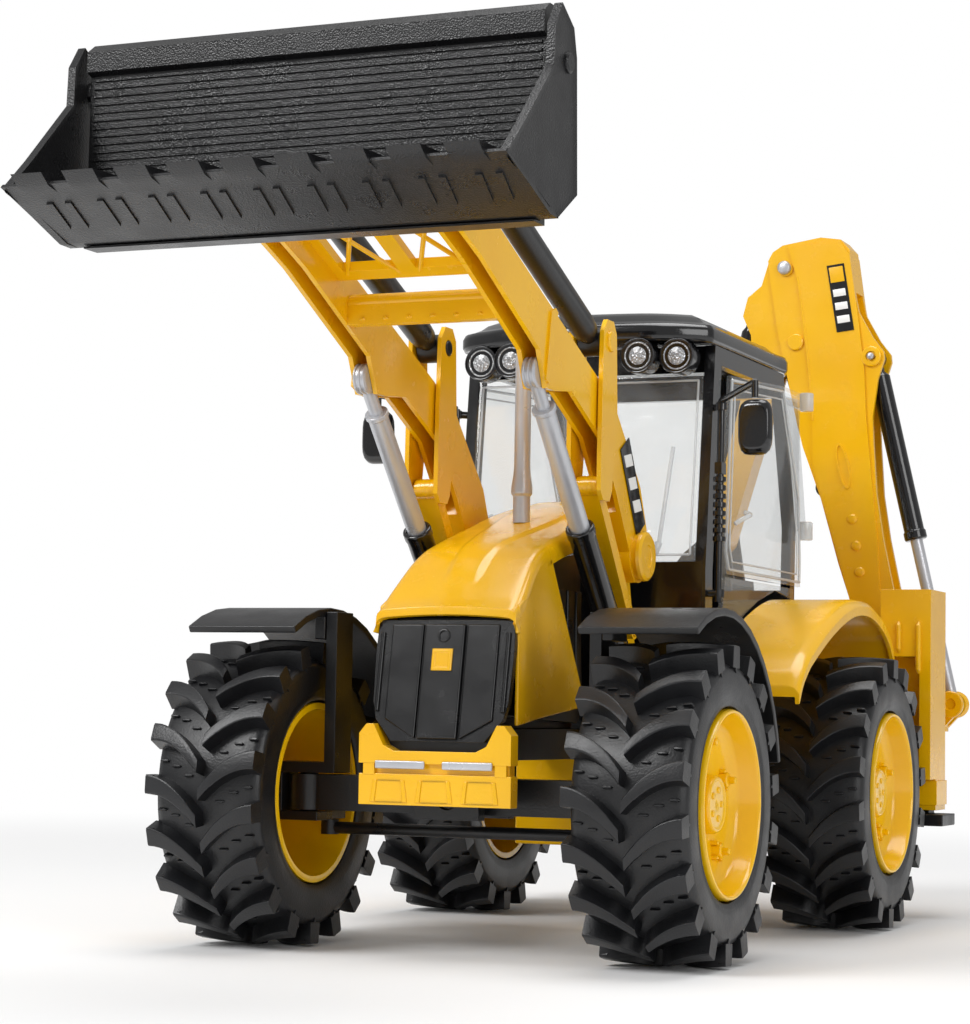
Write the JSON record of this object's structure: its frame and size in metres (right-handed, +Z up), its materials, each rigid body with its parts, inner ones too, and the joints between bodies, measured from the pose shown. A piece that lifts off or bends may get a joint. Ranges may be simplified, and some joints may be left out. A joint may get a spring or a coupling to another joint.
{
  "type": "toy backhoe loader",
  "caption": "Wheeled toy backhoe loader with a clam bucket on lifting arms, a side-shifting rear digger arm, opening doors and bonnet, and steered front wheels.",
  "frame": {"origin": "bottom centre of the bounding box at rest, on the ground under the tyres", "axes": "+X to the machine's left, +Y rearward along its length, +Z up; the loader bucket points to -Y"},
  "size_m": [0.199, 0.455, 0.2755],
  "materials": {
    "yellow_plastic": "glossy moulded plastic",
    "rim_yellow": "glossy moulded plastic",
    "black_plastic": "satin moulded plastic with fine grain",
    "black_gloss": "glossy moulded plastic",
    "tyre_rubber": "soft satin rubber",
    "clear_plastic": "clear moulded plastic",
    "silver_plastic": "silver lacquered plastic"
  },
  "bodies": {
    "root": {"chassis_frame": "black_plastic", "loader_towers": "yellow_plastic", "loader_pivot_shaft": "silver_plastic", "engine_block": "black_plastic", "front_bumper": "yellow_plastic", "reflector_strips": "silver_plastic", "belly_tank": "yellow_plastic", "cab_frame": "black_gloss", "cab_roof": "black_gloss", "roof_lamps": "silver_plastic", "cab_windows": "clear_plastic", "rear_fenders": "yellow_plastic", "driver_seat": "black_plastic", "backhoe_frame": "yellow_plastic"},
    "bonnet": {"bonnet": "yellow_plastic", "grille_panel": "black_plastic", "exhaust_stack": "silver_plastic"},
    "steering_wheel": {"steering_wheel": "black_plastic"},
    "front_axle": {"front_axle_beam": "black_plastic"},
    "tie_rod": {"tie_rod": "black_plastic"},
    "loader_arms": {"loader_arms": "yellow_plastic"},
    "bellcranks": {"bellcranks": "yellow_plastic"},
    "leveling_links": {"leveling_links": "yellow_plastic"},
    "lift_barrels": {"lift_barrels": "black_plastic"},
    "lift_rods": {"lift_rods": "silver_plastic"},
    "tilt_pins": {"tilt_pins": "black_plastic"},
    "tilt_barrels": {"tilt_barrels": "black_plastic"},
    "tilt_rods": {"tilt_rods": "black_plastic"},
    "bucket_pin": {"bucket_pin_shaft": "yellow_plastic"},
    "bucket": {"bucket_back": "black_plastic"},
    "clam": {"bucket_clam": "black_plastic"},
    "hoe_carriage": {"hoe_carriage": "yellow_plastic"},
    "kingpost": {"kingpost": "yellow_plastic"},
    "boom": {"boom": "yellow_plastic"},
    "dipper": {"dipper": "yellow_plastic"},
    "hoe_bucket": {"hoe_bucket": "black_plastic"},
    "boom_ram_barrel": {"boom_ram_barrel": "black_plastic"},
    "boom_ram_rod": {"boom_ram_rod": "silver_plastic"},
    "dipper_ram_barrel": {"dipper_ram_barrel": "black_plastic"},
    "dipper_ram_rod": {"dipper_ram_rod": "silver_plastic"},
    "bucket_ram_barrel": {"bucket_ram_barrel": "black_plastic"},
    "bucket_ram_rod": {"bucket_ram_rod": "silver_plastic"},
    "door_left": {"door_left": "clear_plastic"},
    "mirror_left": {"mirror_left": "black_plastic"},
    "knuckle_left": {"steering_knuckle_left": "black_plastic", "front_fender_left": "black_plastic"},
    "stabilizer_left": {"stabilizer_leg_left": "black_plastic"},
    "wheel_front_left": {"tyre_front_left": "tyre_rubber", "rim_front_left": "rim_yellow"},
    "wheel_rear_left": {"tyre_rear_left": "tyre_rubber", "rim_rear_left": "rim_yellow"},
    "door_right": {"door_right": "clear_plastic"},
    "mirror_right": {"mirror_right": "black_plastic"},
    "knuckle_right": {"steering_knuckle_right": "black_plastic", "front_fender_right": "black_plastic"},
    "stabilizer_right": {"stabilizer_leg_right": "black_plastic"},
    "wheel_front_right": {"tyre_front_right": "tyre_rubber", "rim_front_right": "rim_yellow"},
    "wheel_rear_right": {"tyre_rear_right": "tyre_rubber", "rim_rear_right": "rim_yellow"}
  },
  "joints": [
    {"name": "axle_oscillation", "type": "hinge", "parent": "root", "child": "front_axle", "pos_m": [0, -0.064, 0.05], "axis": [0, 1, 0], "range_deg": [-4, 4]},
    {"name": "steering_left", "type": "hinge", "parent": "front_axle", "child": "knuckle_left", "pos_m": [0.056, -0.064, 0.05], "axis": [0, 0, 1], "range_deg": [-15, 15]},
    {"name": "steering_right", "type": "hinge", "parent": "front_axle", "child": "knuckle_right", "pos_m": [-0.056, -0.064, 0.05], "axis": [0, 0, 1], "range_deg": [-15.5, 15.5]},
    {"name": "tie_rod_travel", "type": "slide", "parent": "front_axle", "child": "tie_rod", "axis": [1, 0, 0], "range_m": [-0.0046, 0.0046]},
    {"name": "front_wheel_left", "type": "hinge", "parent": "knuckle_left", "child": "wheel_front_left", "pos_m": [0.0705, -0.064, 0.05], "axis": [1, 0, 0], "continuous": true},
    {"name": "front_wheel_right", "type": "hinge", "parent": "knuckle_right", "child": "wheel_front_right", "pos_m": [-0.0705, -0.064, 0.05], "axis": [1, 0, 0], "continuous": true},
    {"name": "rear_wheel_left", "type": "hinge", "parent": "root", "child": "wheel_rear_left", "pos_m": [0.076, 0.113, 0.05], "axis": [1, 0, 0], "continuous": true},
    {"name": "rear_wheel_right", "type": "hinge", "parent": "root", "child": "wheel_rear_right", "pos_m": [-0.076, 0.113, 0.05], "axis": [1, 0, 0], "continuous": true},
    {"name": "bonnet_hinge", "type": "hinge", "parent": "root", "child": "bonnet", "pos_m": [0, 0.0245, 0.146], "axis": [-1, 0, 0], "range_deg": [0, 30]},
    {"name": "door_left_hinge", "type": "hinge", "parent": "root", "child": "door_left", "pos_m": [0.0505, 0.1485, 0.15], "axis": [0, 0, 1], "range_deg": [0, 70]},
    {"name": "door_right_hinge", "type": "hinge", "parent": "root", "child": "door_right", "pos_m": [-0.0505, 0.1485, 0.15], "axis": [0, 0, -1], "range_deg": [0, 70]},
    {"name": "mirror_left_swivel", "type": "hinge", "parent": "root", "child": "mirror_left", "pos_m": [0.071, 0.0145, 0.176], "axis": [0, 0, 1], "range_deg": [-30, 30]},
    {"name": "mirror_right_swivel", "type": "hinge", "parent": "root", "child": "mirror_right", "pos_m": [-0.071, 0.0145, 0.176], "axis": [0, 0, -1], "range_deg": [-30, 30]},
    {"name": "steering_wheel_turn", "type": "hinge", "parent": "root", "child": "steering_wheel", "pos_m": [0, 0.0605, 0.118], "axis": [0, 0.5, 0.866], "continuous": true},
    {"name": "loader_lift", "type": "hinge", "parent": "root", "child": "loader_arms", "pos_m": [0, 0.0045, 0.131], "axis": [1, 0, 0], "range_deg": [-8, 64]},
    {"name": "bellcrank_level", "type": "hinge", "parent": "loader_arms", "child": "bellcranks", "pos_m": [0, -0.0315, 0.177], "axis": [1, 0, 0], "range_deg": [-64.5, 8.5]},
    {"name": "leveling_link_swing", "type": "hinge", "parent": "root", "child": "leveling_links", "pos_m": [0, 0.0025, 0.106], "axis": [1, 0, 0], "range_deg": [-8.5, 64.5]},
    {"name": "lift_ram_pivot", "type": "hinge", "parent": "root", "child": "lift_barrels", "pos_m": [0, 0.0105, 0.082], "axis": [1, 0, 0], "range_deg": [-6.8, 50.9]},
    {"name": "lift_ram_stroke", "type": "slide", "parent": "lift_barrels", "child": "lift_rods", "axis": [0, -0.6825, 0.7309], "range_m": [-0.06, 0.012]},
    {"name": "bucket_level", "type": "hinge", "parent": "loader_arms", "child": "bucket_pin", "pos_m": [0, -0.1625, 0.229], "axis": [1, 0, 0], "range_deg": [-64.5, 8.5]},
    {"name": "bucket_tilt", "type": "hinge", "parent": "bucket_pin", "child": "bucket", "pos_m": [0, -0.1625, 0.229], "axis": [-1, 0, 0], "range_deg": [-42, 10]},
    {"name": "tilt_pin_turn", "type": "hinge", "parent": "bellcranks", "child": "tilt_pins", "pos_m": [0, -0.0315, 0.2], "axis": [1, 0, 0], "range_deg": [-8.5, 64.5]},
    {"name": "tilt_ram_pivot", "type": "hinge", "parent": "tilt_pins", "child": "tilt_barrels", "pos_m": [0, -0.0315, 0.2], "axis": [1, 0, 0], "range_deg": [-5, 6]},
    {"name": "tilt_ram_stroke", "type": "slide", "parent": "tilt_barrels", "child": "tilt_rods", "axis": [0, -0.9295, 0.3689], "range_m": [-0.012, 0.018]},
    {"name": "clam_jaw", "type": "hinge", "parent": "bucket", "child": "clam", "pos_m": [0, -0.1785, 0.2556], "axis": [-1, 0, 0], "range_deg": [0, 40]},
    {"name": "hoe_sideshift", "type": "slide", "parent": "root", "child": "hoe_carriage", "axis": [-1, 0, 0], "range_m": [0, 0.13]},
    {"name": "hoe_slew", "type": "hinge", "parent": "hoe_carriage", "child": "kingpost", "pos_m": [0.078, 0.2115, 0.08], "axis": [0, 0, -1], "range_deg": [0, 180]},
    {"name": "boom_lift", "type": "hinge", "parent": "kingpost", "child": "boom", "pos_m": [0.07, 0.2115, 0.088], "axis": [0, -1, 0], "range_deg": [0, 58]},
    {"name": "boom_ram_pivot", "type": "hinge", "parent": "boom", "child": "boom_ram_barrel", "pos_m": [0.0616, 0.2115, 0.225], "axis": [0, -1, 0], "range_deg": [-7.9, 1.5]},
    {"name": "boom_ram_stroke", "type": "slide", "parent": "boom_ram_barrel", "child": "boom_ram_rod", "axis": [0.2244, 0, -0.9745], "range_m": [-0.003, 0.018]},
    {"name": "dipper_reach", "type": "hinge", "parent": "boom", "child": "dipper", "pos_m": [0.025, 0.2115, 0.263], "axis": [0, 1, 0], "range_deg": [0, 80]},
    {"name": "dipper_ram_pivot", "type": "hinge", "parent": "boom", "child": "dipper_ram_barrel", "pos_m": [0.041, 0.2115, 0.172], "axis": [0, -1, 0], "range_deg": [-1.5, 6.7]},
    {"name": "dipper_ram_stroke", "type": "slide", "parent": "dipper_ram_barrel", "child": "dipper_ram_rod", "axis": [-0.285, 0, 0.9585], "range_m": [-0.004, 0.026]},
    {"name": "hoe_bucket_curl", "type": "hinge", "parent": "dipper", "child": "hoe_bucket", "pos_m": [-0.005, 0.2115, 0.15], "axis": [0, 1, 0], "range_deg": [0, 76]},
    {"name": "bucket_ram_pivot", "type": "hinge", "parent": "dipper", "child": "bucket_ram_barrel", "pos_m": [0.0094, 0.2115, 0.2456], "axis": [0, -1, 0], "range_deg": [-6.4, 1.5]},
    {"name": "bucket_ram_stroke", "type": "slide", "parent": "bucket_ram_barrel", "child": "bucket_ram_rod", "axis": [-0.2291, 0, -0.9734], "range_m": [-0.022, 0.004]},
    {"name": "stabilizer_left_drop", "type": "slide", "parent": "root", "child": "stabilizer_left", "axis": [0, 0, -1], "range_m": [0, 0.036]},
    {"name": "stabilizer_right_drop", "type": "slide", "parent": "root", "child": "stabilizer_right", "axis": [0, 0, -1], "range_m": [0, 0.036]}
  ],
  "couplings": [
    {"joint": "steering_right", "follows": "steering_left", "ratio": 1},
    {"joint": "tie_rod_travel", "follows": "steering_left", "m_per_rad": -0.016},
    {"joint": "bellcrank_level", "follows": "loader_lift", "ratio": -1},
    {"joint": "leveling_link_swing", "follows": "loader_lift", "ratio": 1},
    {"joint": "lift_ram_pivot", "follows": "loader_lift", "ratio": 0.788},
    {"joint": "lift_ram_stroke", "follows": "loader_lift", "m_per_rad": -0.039677},
    {"joint": "bucket_level", "follows": "loader_lift", "ratio": -1},
    {"joint": "tilt_pin_turn", "follows": "loader_lift", "ratio": 1},
    {"joint": "tilt_ram_pivot", "follows": "bucket_tilt", "ratio": -0.09},
    {"joint": "tilt_ram_stroke", "follows": "bucket_tilt", "m_per_rad": -0.01802},
    {"joint": "boom_ram_pivot", "follows": "boom_lift", "ratio": -0.11},
    {"joint": "boom_ram_stroke", "follows": "boom_lift", "m_per_rad": 0.016788},
    {"joint": "dipper_ram_pivot", "follows": "dipper_reach", "ratio": 0.065},
    {"joint": "dipper_ram_stroke", "follows": "dipper_reach", "m_per_rad": 0.015642},
    {"joint": "bucket_ram_pivot", "follows": "hoe_bucket_curl", "ratio": -0.065},
    {"joint": "bucket_ram_stroke", "follows": "hoe_bucket_curl", "m_per_rad": -0.012204}
  ]
}
